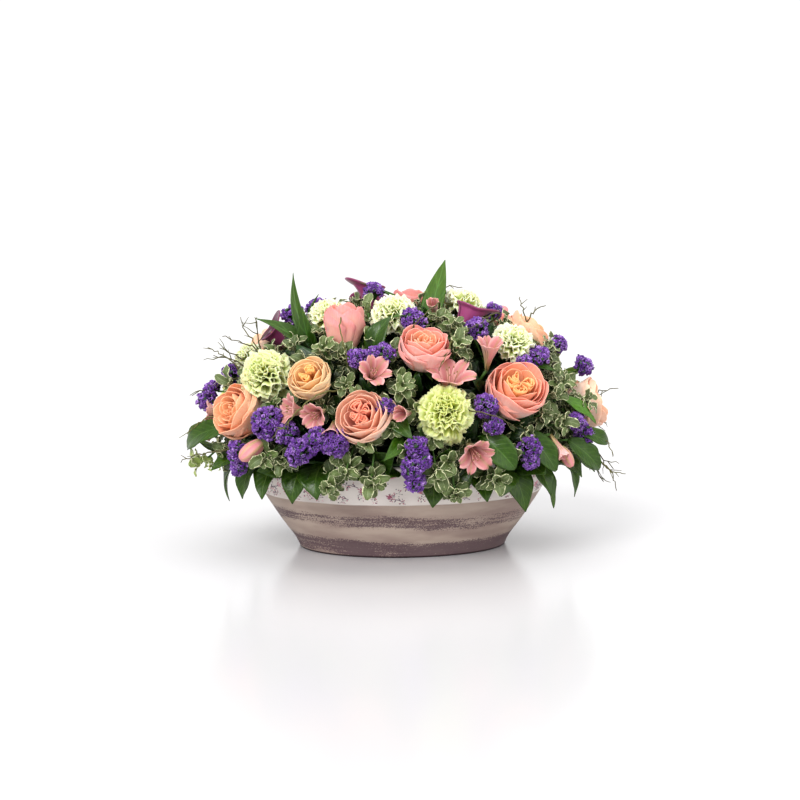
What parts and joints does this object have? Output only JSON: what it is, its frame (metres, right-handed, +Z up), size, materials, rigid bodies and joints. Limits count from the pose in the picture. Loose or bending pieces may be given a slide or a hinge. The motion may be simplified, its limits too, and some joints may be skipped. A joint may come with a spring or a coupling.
{
  "type": "floral table centerpiece",
  "caption": "Low oval table centerpiece of garden roses, carnations, callas, alstroemeria, statice and mixed leaves set in wet foam in a flared oval painted bowl.",
  "frame": {"origin": "middle of the bowl's flat underside, where it stands on the table", "axes": "+Z up, +X along the bowl's length, -Y towards the viewer of the show side"},
  "size_m": [0.4542, 0.3318, 0.3066],
  "materials": {
    "bowl_glaze": "satin",
    "foam": "matte",
    "rose_peach": "matte",
    "rose_yellow": "matte",
    "rose_pink": "matte",
    "carnation_lime": "matte",
    "carnation_cream": "matte",
    "calla_plum": "satin",
    "alstroemeria_pink": "matte",
    "statice_violet": "matte",
    "leaf_dark": "satin",
    "leaf_grey_green": "satin",
    "twig_bark": "matte"
  },
  "bodies": {
    "root": {"alstroemeria_1": "alstroemeria_pink", "alstroemeria_2": "alstroemeria_pink", "alstroemeria_3": "alstroemeria_pink", "alstroemeria_4": "alstroemeria_pink", "alstroemeria_5": "alstroemeria_pink", "alstroemeria_6": "alstroemeria_pink", "alstroemeria_7": "alstroemeria_pink", "alstroemeria_8": "alstroemeria_pink", "bowl": "bowl_glaze", "broad_leaves_1": "leaf_dark", "broad_leaves_2": "leaf_dark", "broad_leaves_3": "leaf_dark", "broad_leaves_4": "leaf_dark", "calla_1": "calla_plum", "calla_2": "calla_plum", "calla_3": "calla_plum", "calla_4": "calla_plum", "carnation_1": "carnation_lime", "carnation_10": "carnation_lime", "carnation_2": "carnation_lime", "carnation_3": "carnation_cream", "carnation_4": "carnation_cream", "carnation_5": "carnation_cream", "carnation_6": "carnation_cream", "carnation_7": "carnation_cream", "carnation_8": "carnation_lime", "carnation_9": "carnation_cream", "floral_foam": "foam", "lance_leaves_1": "leaf_dark", "lance_leaves_2": "leaf_dark", "pittosporum_1": "leaf_grey_green", "pittosporum_2": "leaf_grey_green", "pittosporum_3": "leaf_grey_green", "pittosporum_4": "leaf_grey_green", "pittosporum_5": "leaf_grey_green", "rose_1": "rose_peach", "rose_10": "rose_pink", "rose_11": "rose_pink", "rose_12": "rose_yellow", "rose_13": "rose_pink", "rose_14": "rose_peach", "rose_2": "rose_yellow", "rose_3": "rose_peach", "rose_4": "rose_pink", "rose_5": "rose_pink", "rose_6": "rose_peach", "rose_7": "rose_pink", "rose_8": "rose_pink", "rose_9": "rose_peach", "statice_1": "statice_violet", "statice_2": "statice_violet", "statice_3": "statice_violet", "statice_4": "statice_violet", "statice_5": "statice_violet", "statice_6": "statice_violet", "statice_7": "statice_violet", "statice_8": "statice_violet", "statice_9": "statice_violet", "twigs_1": "twig_bark", "twigs_2": "twig_bark"}
  },
  "joints": []
}
